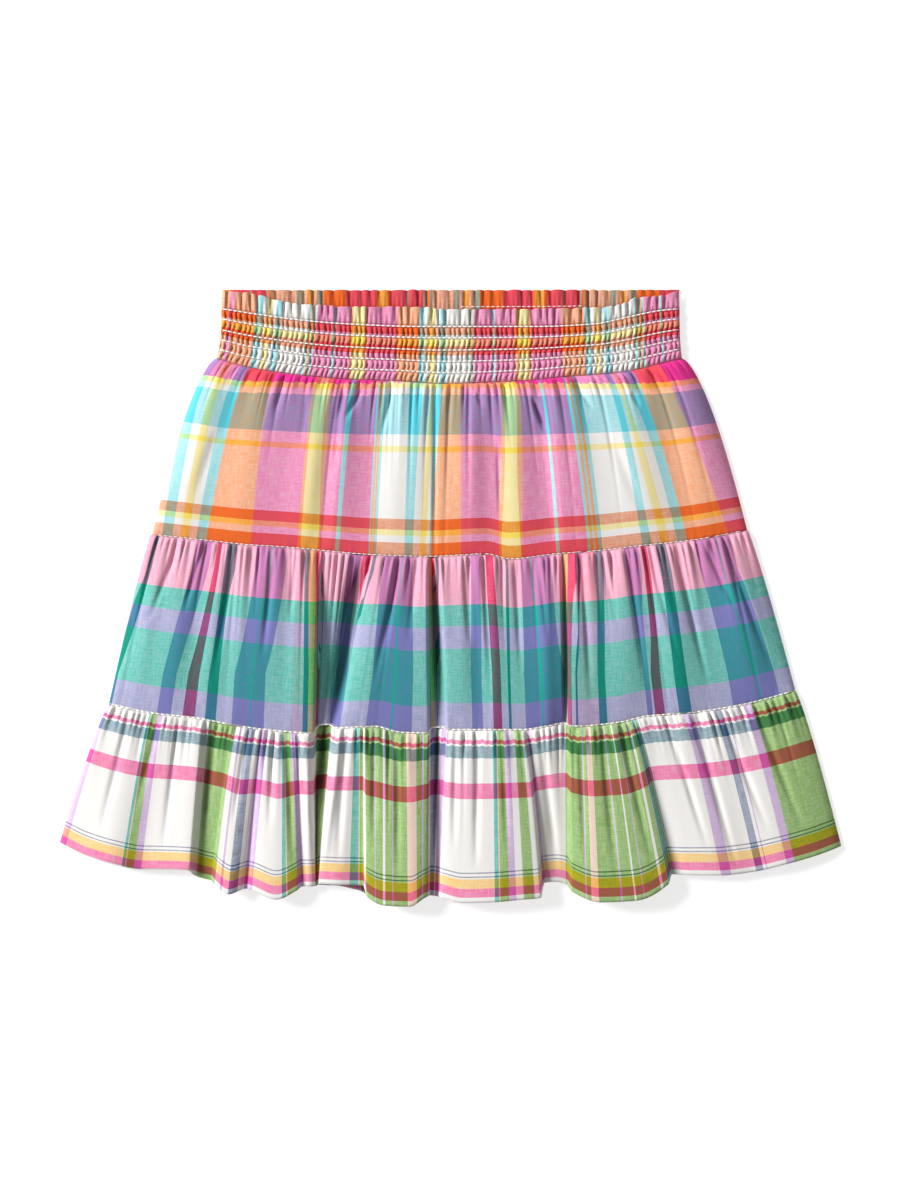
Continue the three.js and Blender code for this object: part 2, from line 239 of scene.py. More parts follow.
def stripes(tree, place, sett, repeats):
    # one set of yarns: constant steps along the cloth, repeated where the sett does
    length = sett[-1][1] * mm
    at = mathNode(tree, "DIVIDE", place, length)
    if repeats:
        at = mathNode(tree, "FRACT", at)
    ramp = tree.nodes.new("ShaderNodeValToRGB")
    ramp.color_ramp.interpolation = "CONSTANT"
    steps = ramp.color_ramp.elements
    start = 0
    for i, (yarn, end) in enumerate(sett):
        step = steps[0] if i == 0 else steps[1] if i == 1 else steps.new(start)
        step.position = start
        step.color = (*[part / weave["full"] for part in yarns[yarn]], 1)
        start = end / sett[-1][1]
    if len(sett) == 1:
        steps[1].position = 1
        steps[1].color = steps[0].color
    tree.links.new(at, ramp.inputs[0])
    return ramp.outputs[0]


def slubs(tree, s, t, wide, long, seed):
    # uneven yarn: a noise drawn out along the yarn
    place = tree.nodes.new("ShaderNodeCombineXYZ")
    tree.links.new(mathNode(tree, "DIVIDE", s, wide * mm), place.inputs[0])
    tree.links.new(mathNode(tree, "DIVIDE", t, long * mm), place.inputs[1])
    place.inputs[2].default_value = seed
    noise = tree.nodes.new("ShaderNodeTexNoise")
    noise.inputs["Scale"].default_value = 1
    noise.inputs["Detail"].default_value = 2
    tree.links.new(place.outputs[0], noise.inputs["Vector"])
    return mathNode(tree, "SUBTRACT", noise.outputs["Fac"], 0.5)


def wovenCotton(name, warp, weft, start=0.0):
    # plain-woven checked cotton; start shifts the weft stripes, in millimetres down the panel
    material = bpy.data.materials.new(name)
    material.use_nodes = True
    tree = material.node_tree
    surface = tree.nodes["Principled BSDF"]
    cloth = tree.nodes.new("ShaderNodeUVMap")
    cloth.uv_map = "cloth"
    parts = tree.nodes.new("ShaderNodeSeparateXYZ")
    tree.links.new(cloth.outputs[0], parts.inputs[0])
    s, t = parts.outputs[0], parts.outputs[1]
    alongWarp = slubs(tree, s, t, weave["slubWide"], weave["slubLong"], 1)
    alongWeft = slubs(tree, t, s, weave["slubWide"], weave["slubLong"], 7)
    warpColour = stripes(tree, s, warp, True)
    weftColour = stripes(tree, mathNode(tree, "ADD", t, start * mm), weft, False)
    share = mathNode(tree, "MULTIPLY", mathNode(tree, "SUBTRACT", alongWarp, alongWeft), weave["slub"])
    blend = tree.nodes.new("ShaderNodeMix")
    blend.data_type = "RGBA"
    tree.links.new(mathNode(tree, "ADD", share, 0.5), blend.inputs["Factor"])
    tree.links.new(warpColour, blend.inputs["A"])
    tree.links.new(weftColour, blend.inputs["B"])
    gamma = tree.nodes.new("ShaderNodeGamma")
    # painted shade: foldShade darkens and saturates the cloth's colour in creases
    folds = tree.nodes.new("ShaderNodeAttribute")
    folds.attribute_name = "foldShade"
    deeper = weave["gamma"] * weave["creaseShadeDeepening"]  # painted shade: creases are drawn deeper in colour as well as darker
    lost = mathNode(tree, "MULTIPLY", folds.outputs["Fac"], deeper)
    tree.links.new(mathNode(tree, "SUBTRACT", weave["gamma"] + deeper, lost), gamma.inputs["Gamma"])
    tree.links.new(blend.outputs["Result"], gamma.inputs["Color"])
    # painted shade: the colour is scaled down by foldShade in the creases
    shaded = tree.nodes.new("ShaderNodeVectorMath")
    shaded.operation = "SCALE"
    tree.links.new(gamma.outputs[0], shaded.inputs[0])
    tree.links.new(folds.outputs["Fac"], shaded.inputs["Scale"])
    tree.links.new(shaded.outputs[0], surface.inputs["Base Color"])
    turn = 2 * math.pi / (weave["yarnPitch"] * mm)
    overs = mathNode(tree, "SINE", mathNode(tree, "MULTIPLY", s, turn))
    unders = mathNode(tree, "SINE", mathNode(tree, "MULTIPLY", t, turn))
    thread = mathNode(tree, "MULTIPLY", overs, unders)
    height = mathNode(tree, "ADD", thread, mathNode(tree, "ADD", alongWarp, alongWeft))
    bump = tree.nodes.new("ShaderNodeBump")
    bump.inputs["Strength"].default_value = weave["yarnBump"]
    bump.inputs["Distance"].default_value = weave["yarnDepth"] * mm
    tree.links.new(height, bump.inputs["Height"])
    tree.links.new(bump.outputs[0], surface.inputs["Normal"])
    surface.inputs["Roughness"].default_value = weave["roughness"]
    surface.inputs["Specular IOR Level"].default_value = weave["specular"]
    surface.inputs["Sheen Weight"].default_value = weave["sheen"]
    surface.inputs["Sheen Roughness"].default_value = weave["sheenRoughness"]
    return material


warmCotton = wovenCotton("warmCheckCotton", warmWarp, warmWeft)
warmBand = wovenCotton("warmBandCotton", warmWarp, bandWeft)
warmBackHeader = wovenCotton("warmHeaderCotton", warmWarp, backHeaderWeft)
coolCotton = wovenCotton("coolCheckCotton", coolWarp, coolWeft)
lightCotton = wovenCotton("lightCheckCotton", lightWarp, lightWeft)
print("cottons woven")

# How the two layers lie, in millimetres over the surface; the front ones share the part's own heights.
lay = {
    "front": 3.1, "back": 0.5, "sideRoll": 5.0, "side": 1.1, "tuck": 0.12, "deepest": -1.9, "foldShade": 0.74,
    "shadeFrom": 1.2, "shadeOver": 3,  # painted crease shade, as strong as foldShade: a crease this deep starts to darken, and is darkest so much deeper
}

# Seams and edges across the front: (x, y) and (x, height over the front's lowest).
headerEdge = [
    (-135, 181.5), (-112.5, 178.5), (-100.5, 175.5), (-85.5, 173), (-60, 172), (-17.5, 171.5), (-6, 170.2),
    (67.5, 170.5), (89.5, 171.5), (104, 174.5), (110.5, 177.5), (123.5, 178), (135, 181.5),
]
firstElastic = [
    (-135, 170), (-112.5, 166.5), (-85.5, 163), (-60, 161), (-17.5, 159.5), (50.5, 159.5), (84.5, 161),
    (104, 165), (124, 169), (135, 170),
]
waistSeam = [
    (-138, 141), (-118.5, 135.5), (-84, 130.5), (-60, 128.5), (-30.5, 127.5), (-6, 126), (40.5, 127.5),
    (67.5, 130), (99.5, 132.5), (136.5, 141),
]
waistRise = [(-138, 0), (-118.5, 0.4), (-84, 0.6), (67.5, 0.6), (99.5, 0.5), (136.5, 0)]
middleSeam = [
    (-176, 37), (-143.5, 33.5), (-120, 31), (-96.5, 29.5), (-73, 27.3), (-45.5, 25), (-12, 24), (21, 25.5),
    (35, 22.5), (61.5, 25.5), (88, 27.5), (113, 30.5), (141.5, 33.5), (175, 39.5),
]
middleRise = [
    (-176, 0), (-143.5, 0.8), (-120, 1.2), (-96.5, 1.4), (-73, 1), (-45.5, 1.2), (-12, 1.6), (21, 1.8),
    (35, 1.4), (61.5, 1.6), (113, 1.4), (141.5, 0.8), (175, 0),
]
hemSeam = [
    (-201.5, -63), (-174.5, -68.5), (-150.5, -71), (-127, -75.5), (-99, -79), (-81, -80), (-79, -75.5),
    (-70, -75), (-67.5, -77), (-44.5, -76), (-30, -79.5), (-13.5, -80), (-11.5, -77), (-3, -76.5),
    (-1.5, -78), (42, -78), (56, -76), (68, -74), (71, -76), (97, -74), (116, -70), (141.5, -68),
    (171, -63.5), (203.5, -55),
]
hemSeamRise = [
    (-201.5, 0), (-174.5, 2), (-150.5, 3), (-127, 3.6), (-99, 3.8), (-81, 3.2), (-79, 0.2), (-70, 0.2),
    (-67.5, 2.8), (-44.5, 3.6), (-30, 3.8), (-13.5, 3.4), (-11.5, 1), (-3, 1), (-1.5, 3.2), (42, 4),
    (56, 4), (68, 1.2), (71, 3.8), (97, 3.8), (116, 3), (141.5, 2.6), (171, 1.6), (203.5, 0),
]

upperTier = {
    "folds": [  # top, low, lift
        (-138, -176, 0), (-129, -160, 3), (-118.5, -145, 1.6), (-103.5, -124, 3.4), (-89, -103.5, 2.4),
        (-74, -86, 4), (-63.5, -76, 2), (-58, -69.5, 3.6), (-43, -50, 1.6), (-30, -32.5, 4), (-6, -11, 2.8),
        (11.5, 11.5, 4), (19, 23.5, 2), (32, 41, 4.2), (46.5, 60, 1.4), (56, 68, 4.2), (79.5, 97, 3),
        (97, 120.5, 4.2), (112, 141.5, 2), (125, 158, 3.6), (136.5, 175, 0),
    ],
    "stripes": [  # at these heights, where each place across shows the cloth's own position
        (113.6, [
            (-156, 0), (-127.5, 26), (-108.5, 48.5), (-82.5, 78), (-81, 80), (-74.5, 88.5), (-71, 92),
            (-61.5, 108), (-58, 109.5), (-43.5, 124.5), (-38.5, 133.5), (-24.5, 154), (-17.5, 159.5),
            (-10.5, 166), (-9.5, 174.5), (-6, 180), (6, 202.5), (30, 232), (31, 234), (38.5, 242.5),
            (41.5, 246), (54.5, 262), (69.5, 278.5), (78, 287.5), (97, 308), (100.5, 313.5), (104, 323.5),
            (109.5, 328.5), (115.5, 334), (134, 356.5), (153.5, 377.5),
        ]),
        (33.9, [
            (-178.5, -7), (-170, 0), (-144.5, 26), (-117.5, 48.5), (-90, 78), (-89, 80), (-78, 88.5),
            (-77, 92), (-68, 108), (-66, 109.5), (-48, 124.5), (-43.5, 133.5), (-27, 154), (-22.5, 159.5),
            (-18, 164.5), (-14.5, 169.5), (-12, 174.5), (-11.5, 180), (6, 202.5), (28.5, 232), (29, 234),
            (41, 242.5), (42, 246), (61.5, 262), (80.5, 278.5), (89, 287.5), (112.5, 308), (117.5, 313.5),
            (123, 318.5), (128.5, 323.5), (133.5, 328.5), (139, 334), (163.5, 356.5), (175.5, 367),
        ]),
    ],
    "above": waistSeam, "aboveRise": waistRise, "below": middleSeam, "belowRise": middleRise,
    "flare": 0.65, "swell": 1, "deep": [(-138, 103.2), (136.5, 103.2)],
    "takenUp": [  # across, cloth hidden in the seam above
        (-138, -3), (-122, -1.8), (-98, 1.7), (-50, 5), (0, 7.5), (30, 6.5), (59, 4), (100, 0), (124, -4.3),
        (136.5, -6),
    ],
    "gathers": [
        {"pitch": 4.4, "height": 1.5, "length": (5, 22), "nip": 1.5, "sharp": 0.65, "seed": 3},
        {"pitch": 10.5, "height": 1.9, "length": (14, 70), "nip": 1.3, "sharp": 1, "seed": 40},
    ],
    "creases": [  # from x, y to x, y, depth, half width
        (-117.5, 134, -123, 122, 1.2, 1.6), (-63, 123, -66, 106, 2.2, 1.5), (-66, 108, -68, 77, 1.4, 1.8),
        (-51.5, 124, -61.5, 106, 1.4, 1.6), (-35, 122, -40, 97, 1.6, 1.5), (-9, 124, -9.5, 30, 1.7, 1.3),
        (16, 120, 18, 113, 1, 1.3), (28, 86, 29, 50, 1.1, 1.2), (49, 116, 56, 98, 2.4, 1.6),
        (74, 125, 83, 112, 1.1, 1.5), (107, 120, 111, 113, 1, 1.3), (118, 134, 134, 122, 1.5, 1.8),
        (104, 128, 122, 118, 1.1, 2), (-98, 128, -104, 108, 0.9, 2), (-84, 120, -88, 92, 0.7, 2.2),
        (96, 92, 112, 52, 0.7, 3), (-138, 96, -150, 60, 0.7, 3), (0, 96, 1, 60, 0.6, 3),
    ],
}
middleTier = {
    "folds": [
        (-177, -201.5, 0), (-164.5, -184.5, 3), (-150, -168, 4.5), (-140.5, -157, 3), (-133.5, -145, 5),
        (-124, -132.5, 4), (-111, -117, 5.5), (-97.5, -100.5, 4.6), (-86, -89, 6), (-78, -81, 5),
        (-75.5, -79, 0.6), (-65, -74.5, 0.4), (-50, -67, 0.6), (-46, -62.5, 4), (-38, -53.5, 5.4),
        (-27, -39, 5), (-15, -13.5, 5.4), (-12.5, -11.5, 1.6), (-9, -3, 0.8), (-6, -1.5, 4.2), (4.5, 7, 5.4),
        (14, 17.5, 3.8), (29, 32.5, 5.6), (47, 51.5, 5), (63.5, 66, 6), (66, 68, 1.2), (69, 71, 5.4),
        (82.5, 88, 4.6), (95.5, 106, 5.8), (109.5, 122.5, 4), (123.5, 141.5, 5), (141.5, 160, 3),
        (159, 181.5, 4), (175.5, 203.5, 0),
    ],
    "stripes": [
        (16.2, [
            (-184, -32), (-179, -29), (-176.5, -24), (-152, 0), (-143, 7.5), (-139.5, 12.5), (-136.5, 17.5),
            (-133, 25.5), (-127, 30.5), (-115, 59), (-97, 82.5), (-86, 102), (-83.5, 105), (-79.5, 110.5),
            (-77, 112), (-76, 131.5), (-61, 156), (-54, 163.5), (-53.5, 168), (-48, 173.5), (-47.5, 181),
            (-45, 186.5), (-40.5, 215), (-29, 226.5), (-22.5, 238.5), (-13.5, 248), (-12.5, 261), (-12, 266),
            (-9, 268), (-8.5, 285), (-2.5, 294), (2.5, 300), (12, 311.5), (17, 319), (20.5, 324), (24.5, 329),
            (32.5, 337), (41.5, 370.5), (47, 382.5), (59.5, 394), (66.5, 416.5), (67.5, 422), (74, 423.5),
            (74.5, 427), (77, 428.5), (86, 438.5), (89.5, 443), (103.5, 467.5), (112.5, 475), (113.5, 479.5),
            (117, 485), (123, 492.5), (129.5, 498), (147, 526.5), (160, 537.5), (169, 550), (180, 557.5),
        ]),
        (-44.5, [
            (-202, -34), (-200, -32), (-198, -29), (-196, -24), (-169, 0), (-161.5, 7.5),
            (-154.5, 12.5), (-148, 17.5), (-142, 25.5), (-136, 30.5), (-127, 59), (-116.5, 71), (-109, 82.5),
            (-93.5, 94), (-86.5, 102), (-83.5, 105), (-79, 110.5), (-77, 112), (-76.5, 131.5), (-67.5, 156),
            (-60.5, 163.5), (-60, 200.5), (-45.5, 215), (-32.5, 226.5), (-22, 238.5), (-12.5, 248),
            (-12, 261), (-9.5, 266), (-9, 287.5), (-2.5, 297), (12, 311.5), (17.5, 319), (24, 324),
            (29, 329), (33.5, 337), (43, 370.5), (53, 382.5), (67.5, 394), (68, 422), (70.5, 423.5),
            (73, 427), (74.5, 428.5), (86, 438.5), (90, 443), (113.5, 467.5), (116.5, 475), (117, 479.5),
            (122.5, 485), (130.5, 492.5), (138, 498), (163, 526.5), (179, 538), (190.5, 550), (198, 557.5),
        ]),
    ],
    "above": middleSeam, "aboveRise": middleRise, "below": hemSeam, "belowRise": hemSeamRise,
    "flare": 0.9, "swell": 1, "deep": [(-177, 100), (175.5, 100)], "takenUp": [(-177, 0), (175.5, 0)],
    "gathers": [
        {"pitch": 3.9, "height": 1.9, "length": (6, 26), "nip": 1.7, "sharp": 0.6, "seed": 11},
        {"pitch": 9.5, "height": 2.7, "length": (14, 75), "nip": 2, "sharp": 0.9, "seed": 70},
    ],
    "creases": [
        (-53, 21, -69.5, -76, 4.2, 3), (-59, 14, -74, -76, 2.4, 6), (-10.5, 20, -7.5, -76, 3.8, 2.8),
        (66.5, 20, 68, -76, 1.8, 1.4), (-148, 24, -156, -6, 1.6, 1.6), (-128, 22, -138, -40, 1.5, 1.8),
        (-104, 24, -110, -30, 1.6, 1.7), (-91, 24, -94, -10, 1.4, 1.5), (-162, 26, -176, -10, 1.3, 1.7),
        (-30, 20, -43, -42, 1.6, 1.8), (-20, 22, -24, -20, 1.3, 1.5), (8, 20, 11, -24, 1.4, 1.5),
        (20, 20, 24, -52, 1.7, 1.7), (38, 18, 41, -38, 1.5, 1.6), (52, 20, 56, -18, 1.3, 1.5),
        (77, 22, 82, -50, 1.6, 1.7), (90, 24, 96, -10, 1.3, 1.5), (104, 26, 114, -46, 1.6, 1.8),
        (117, 28, 132, -30, 1.5, 1.7), (132, 28, 150, -44, 1.7, 1.8), (150, 30, 166, -4, 1.3, 1.6),
        (162, 30, 186, -34, 1.4, 1.8), (-184, 10, -194, -40, 1, 2.4),
    ],
}
hemTier = {
    "folds": [  # top, low, the hem's y, the hem's height
        (-201.5, -230.5, -144.5, 0), (-194, -216, -151.5, 3), (-181.5, -199.5, -156.5, 5.5),
        (-168.5, -181.5, -160, 3.5), (-156, -166.5, -160, 5.5), (-146, -153.5, -160.5, 7.5),
        (-143.5, -151, -163.5, 1.2), (-135, -145.5, -165.5, 0.6), (-128.5, -141, -166.5, 1),
        (-126, -138.5, -169, 6.5), (-119, -130.5, -174.5, 8), (-112.5, -123, -172, 5),
        (-110.5, -120.5, -171.5, 2), (-107.5, -117.5, -172, 6), (-100.5, -102.5, -177.5, 8.5),
        (-94.5, -90, -172, 7), (-91, -87, -170, 3.5), (-84, -83, -170, 4.5), (-81, -80, -170, 3.5),
        (-79, -79.5, -170, 0), (-70, -78.3, -169, 0), (-67.5, -77.2, -168.5, 4), (-59.5, -66.5, -169, 5.5),
        (-52, -51.5, -169.5, 3), (-50, -49, -176, 7.5), (-38.5, -38.5, -181, 9.5), (-25, -24, -181.5, 10),
        (-13.5, -14, -176, 7.5), (-11.5, -12, -175.5, 0.8), (-3, -8, -176, 0.8), (-1.5, -5.5, -176.5, 6.5),
        (8.5, 7, -179.5, 9), (23.5, 24.5, -179, 10), (36.5, 42, -177.5, 9), (44, 53, -176.5, 8),
        (46, 55.5, -168, 1.2), (57.5, 62, -167.5, 2), (68, 68.5, -169, 1.2), (71, 71.5, -173, 7),
        (82.5, 88, -179, 10), (94, 109, -178, 10), (106, 128, -168.5, 7.5), (108.5, 130.5, -163, 1.6),
        (120.5, 142.5, -163.5, 3.5), (135.5, 158, -163.5, 5), (153, 178, -161.5, 3.5), (171, 197, -157, 5),
        (188.5, 215, -152, 3.5), (203.5, 230.5, -146.5, 0),
    ],
    "stripes": [
        (-125.4, [
            (-227, 114.5), (-221, 121.5), (-188.5, 146.5), (-186, 150), (-182.5, 154.5), (-178.5, 158),
            (-146.5, 190), (-146, 244), (-134, 262), (-133, 282.5), (-130.5, 285), (-125.5, 288),
            (-121, 292), (-119, 294), (-117.5, 305.5), (-112.5, 311.5), (-99.5, 336.5), (-92.5, 344.5),
            (-89, 348), (-79.5, 357.5), (-79.2, 432), (-75, 440), (-74.6, 365), (-58, 380), (-54.5, 383),
            (-50, 389), (-45.5, 394.5), (-44, 396.5), (-40.5, 400), (-38, 402.5), (-35, 406.5), (-26.5, 417),
            (-20.5, 422.5), (-18, 425), (-15.5, 427), (-13.5, 429.5), (-12.5, 476.5), (-12, 478),
            (-8.5, 482), (-7, 500.5), (-3, 502.5), (25, 526.5), (28.5, 530), (32.5, 534.6), (35.7, 538.1),
            (40.3, 542), (40.5, 620), (45.6, 628), (45.8, 695), (48.7, 699), (50.5, 690), (52, 692),
            (67.5, 708), (68, 626.5), (78, 617), (80, 615),
            (81.5, 612.5), (85.5, 607), (95, 598.5), (97, 596.5), (101.5, 592.5), (103, 590), (106, 586.5),
            (107.5, 584.5), (115, 579), (117, 577), (119.5, 574), (120, 573), (122, 570), (123, 717.5),
            (151.5, 691.5), (157.5, 685.5), (172, 672), (176, 668), (178, 665.5), (179, 664.5),
            (190.5, 653.5), (195, 648), (226.5, 616),
        ]),
    ],
    "above": hemSeam, "aboveRise": hemSeamRise, "below": None, "belowRise": None,
    "flare": 0.85, "swell": 0.6, "deep": [(-146, 93), (-143.5, 95.4)],
    "takenUp": [(-201.5, 0.5), (203.5, 0.5)],
    "gathers": [
        {"pitch": 3.7, "height": 1.8, "length": (6, 22), "nip": 1.7, "sharp": 0.6, "seed": 23},
        {"pitch": 9, "height": 2.1, "length": (9, 50), "nip": 1.6, "sharp": 0.9, "seed": 120},
    ],
    "creases": [
        (-73.5, -72, -79, -128, 4.2, 3.6), (-79, -110, -79.5, -165, 4, 0.9),
        (-84, -74, -83.5, -150, -1.8, 2), (-64, -74, -73.5, -150, -1.8, 2.2),
        (-139, -72, -148, -150, 2.4, 3), (-7.5, -74, -10, -160, 3, 2.2), (55, -100, 62, -160, 1.8, 3),
        (-190, -72, -204, -130, 1.4, 2), (-172, -74, -184, -120, 1.2, 1.8), (-160, -74, -168, -140, 1.5, 2),
        (-120, -82, -127, -128, 1.3, 1.6), (-105, -84, -106, -130, 1.4, 1.6), (-96, -84, -93, -150, 1.6, 1.7),
        (-62, -80, -66, -150, 1.4, 1.8), (-45, -80, -45, -140, 1.6, 1.7), (-31, -84, -31, -160, 1.5, 1.8),
        (3, -82, 2, -140, 1.4, 1.7), (16, -82, 15, -150, 1.6, 1.8), (30, -82, 33, -140, 1.4, 1.6),
        (76, -80, 79, -150, 1.5, 1.8), (88, -78, 97, -158, 1.6, 1.8), (100, -76, 117, -150, 1.5, 1.7),
        (128, -74, 149, -140, 1.4, 1.8), (144, -72, 166, -150, 1.5, 1.9), (160, -70, 184, -130, 1.3, 1.8),
        (180, -66, 204, -128, 1.4, 2),
    ],
}


def column(rows, first, second):
    return [(row[first], row[second]) for row in rows]


def evenColumns(rows, count):
    # columns across a tier, closer together where its folds are steep
    steps = []
    for x0, x1 in zip(rows, rows[1:]):
        steps.append(abs(x1[0] - x0[0]) + 0.5 * abs(x1[-1] - x0[-1]))
    total = sum(steps)
    places = []
    passed = 0
    edge = 0
    for i in range(count + 1):
        at = total * i / count
        while edge < len(steps) - 1 and passed + steps[edge] < at:
            passed += steps[edge]
            edge += 1
        places.append(mix(rows[edge][0], rows[edge + 1][0], clamp((at - passed) / steps[edge])))
    return places


# How a front tier hangs between its seams, in millimetres and in shares of its depth.
hang = {
    "closer": 0.65, "closerPower": 1.35,  # the sheet's rows lie closer at the gathers
    "liftPower": 0.7, "flatSeam": 1.6, "tuckLong": 0.9,
    "bunch": 0.35, "bunchLong": 3, "bunchWide": 2.5,  # the cloth bunched over the seam below
    "takenUpPower": 1.3, "wander": [(0.6, 1.75, 0), (0.5, 0.71, 1)], "wanderLong": 11,
}


def waves(at, rows):
    # a sum of sine waves, each given as how high, how close together and where it starts
    return sum(high * math.sin(close * at + start) for high, close, start in rows)


def frontTier(name, tier, material, across=610, rows=76):
    folds = tier["folds"]
    lowX = smooth(column(folds, 0, 1))
    lift = smooth(column(folds, 0, 2)) if tier["below"] else None
    topY, topRise = smooth(tier["above"]), smooth(tier["aboveRise"])
    lowY = smooth(tier["below"]) if tier["below"] else smooth(column(folds, 1, 2))
    lowRise = smooth(tier["belowRise"] or column(folds, 1, 3))
    takenUp = smooth(tier["takenUp"])
    deep = straight(tier["deep"])
    flare = tier["flare"]
    lines = []
    for top in evenColumns(folds, across):
        low = lowX(top)
        line = {
            "top": top, "low": low, "topY": topY(top), "lowY": lowY(low), "topRise": topRise(top),
            "lowRise": lowRise(low), "lift": lift(top) if lift else 0, "deep": deep(top), "cloth": [],
        }
        for height, places in tier["stripes"]:
            flared = clamp((line["topY"] - height) / (line["topY"] - line["lowY"])) ** flare
            line["cloth"].append((flared, straight(places)(mix(top, low, flared))))
        if len(line["cloth"]) == 1:
            line["cloth"].insert(0, (0, line["cloth"][0][1]))
        lines.append(line)
    left, right = folds[0], folds[-1]

    def place(c, r):
        line = lines[c]
        share = r / rows
        down = mix(share, share ** hang["closerPower"], hang["closer"])
        flared = down ** flare
        x = mix(line["top"], line["low"], flared)
        y = mix(line["topY"], line["lowY"], down)
        fallen = down * line["deep"]
        z = mix(line["topRise"], line["lowRise"], down ** tier["swell"])
        z += line["lift"] * max(math.sin(math.pi * down), 0) ** hang["liftPower"]
        sewn = 1 - math.exp(-fallen / hang["flatSeam"])
        for scale in tier["gathers"]:
            z += sewn * gathersAt(line["top"], fallen, scale)
        if tier["below"]:
            near = math.exp((down - 1) * line["deep"] / hang["bunchLong"])
            z += hang["bunch"] * near * spread(math.floor(line["low"] / hang["bunchWide"]))
        crease = creaseAt(x, y, tier["creases"])
        tuck = lay["tuck"] * math.exp(-(fallen / hang["tuckLong"]) ** 2)
        z = lay["front"] + max(z + crease, lay["deepest"]) - tuck
        edge = min(x - mix(left[0], left[1], flared), mix(right[0], right[1], flared) - x)
        roll = clamp(edge / lay["sideRoll"])
        z = mix(lay["side"], z, math.sqrt(1 - (1 - roll) ** 2))
        (w0, s0), (w1, s1) = line["cloth"]
        shown = (flared - w0) / max(w1 - w0, 0.05)
        s = mix(s0, s1, clamp(shown))
        hidden = takenUp(line["top"]) * (1 - down) ** hang["takenUpPower"]
        wander = waves(line["top"], hang["wander"]) * math.exp(-fallen / hang["wanderLong"])
        # painted shade: the cloth's colour is drawn darker in the deepest creases
        shade = 1 - lay["foldShade"] * clamp((-crease - lay["shadeFrom"]) / lay["shadeOver"])
        return (x, y, z), (s, fallen + hidden + wander), shade

    piece = clothSheet(name, across, rows, place)
    piece.data.materials.append(material)
    return piece


# The back panels lie flatter: broad waves and fine gathers, in millimetres.
backFolds = {
    "broad": {"pitch": 17, "height": 0.6, "length": (60, 200), "nip": 0, "sharp": 1},
    "fine": {"pitch": 5, "height": 0.5, "length": (8, 26), "nip": 0, "sharp": 1},
    "share": 0.6, "edges": 30, "flareTaken": 0.3, "gathered": 1.5,
}


def backTier(name, tier, material, topEdge, lowEdge, shift, across=190, rows=44):
    folds = tier["folds"]
    topY, lowY = smooth(topEdge), smooth(lowEdge)
    flare = tier["flare"]
    broad = {**backFolds["broad"], "seed": shift}
    fine = {**backFolds["fine"], "seed": shift + 5}

    def place(c, r):
        share = c / across
        down = r / rows
        flared = down ** flare
        top = mix(folds[0][0], folds[-1][0], share)
        low = mix(folds[0][1], folds[-1][1], share)
        x = mix(top, low, flared)
        y = mix(topY(top), lowY(low), down)
        fallen = down * tier["deep"][0][1]
        edge = clamp(min(share, 1 - share) * backFolds["edges"])
        ridges = gathersAt(top, fallen, broad) + gathersAt(top, fallen, fine)
        z = lay["back"] + backFolds["share"] * edge * ridges
        s = shift + top + (low - top) * flared * backFolds["flareTaken"] + backFolds["gathered"] * x
        return (x, y, z), (s, fallen), 1

    piece = clothSheet(name, across, rows, place)
    piece.data.materials.append(material)
    return piece


backWaist = [(-138, 141), (-60, 138), (60, 138), (136.5, 141)]
backMiddle = [(-176, 37), (-90, 35), (90, 35), (175, 39.5)]
backHemSeam = [(-201.5, -63), (-110, -70), (100, -70), (203.5, -55)]
backHem = [
    (-230.5, -144.5), (-195, -155.5), (-148, -161.5), (-112.5, -167), (-89, -168), (-78, -169.5),
    (-66.5, -170), (-59.5, -171.5), (-52, -173.5), (-46, -178), (-39, -179), (-28, -175.5), (-12, -174),
    (48, -166), (62, -163), (70.5, -165), (112, -167), (130.5, -161), (176.5, -159), (230.5, -146.5),
]

upperFront = frontTier("upperTierFront", upperTier, warmCotton)
middleFront = frontTier("middleTierFront", middleTier, coolCotton)
hemFront = frontTier("hemTierFront", hemTier, lightCotton)
print("front tiers draped")
upperBack = backTier("upperTierBack", upperTier, warmCotton, backWaist, backMiddle, 31)
middleBack = backTier("middleTierBack", middleTier, coolCotton, backMiddle, backHemSeam, 57)
hemBack = backTier("hemTierBack", hemTier, lightCotton, backHemSeam, backHem, 83)
print("back tiers laid")

# The shirred waistband: five rows of elastic thread with puckers between them, and a frilled header.
band = {
    "puckers": 88, "puff": 2.3, "lean": 0.16, "ridgePower": 0.55, "sway": 0.1, "stray": 0.13,
    "frills": 46, "frill": 3, "frillPower": 0.45, "uneven": [(0.3, 1.7, 1), (0.22, 0.61, 0)],
    "twist": 0.1, "dip": 0.9, "ragged": 0.6, "curl": 0.25,
    "elastic": [0, 0.2, 0.42, 0.62, 0.82, 1],  # the rows, from the header's foot to the waist seam
    "headerRows": 12, "rowsBetween": 8, "across": 756, "lay": 3.2, "roll": 3.5,
    # creaseShade and footShade set the painted shade in the band's creases and along the header's foot
    "headerCloth": 12, "shirredCloth": 33, "creaseShade": 0.55, "footShade": 0.35,
    "stripes": [
        (-136, 352), (-131.4, 356), (-131, 358), (-129, 358), (-128.6, 356), (-115, 334), (-100.4, 308),
        (-84.8, 287.5), (-80, 278.5), (-69, 263.7), (-67.6, 262), (-58.8, 246), (-57.4, 242.5),
        (-50.1, 234.2), (-49.5, 231.9), (-31.3, 202.5), (-18.2, 180), (-12.9, 169.5), (-8.5, 164.3),
        (-2.7, 154), (11, 133.5), (14, 124.5), (25.5, 109.5), (38, 92), (46.5, 80), (66, 48.5), (79.5, 26),
        (94, 0), (108.5, -20.5), (133.5, -59),
    ],
    "drift": [  # how far the warp strays across, from the header's edge to the waist
        (-135, -5), (-82, -5), (-55, -1.5), (0, 0), (80, 1.5), (135, 2.5),
    ],
}


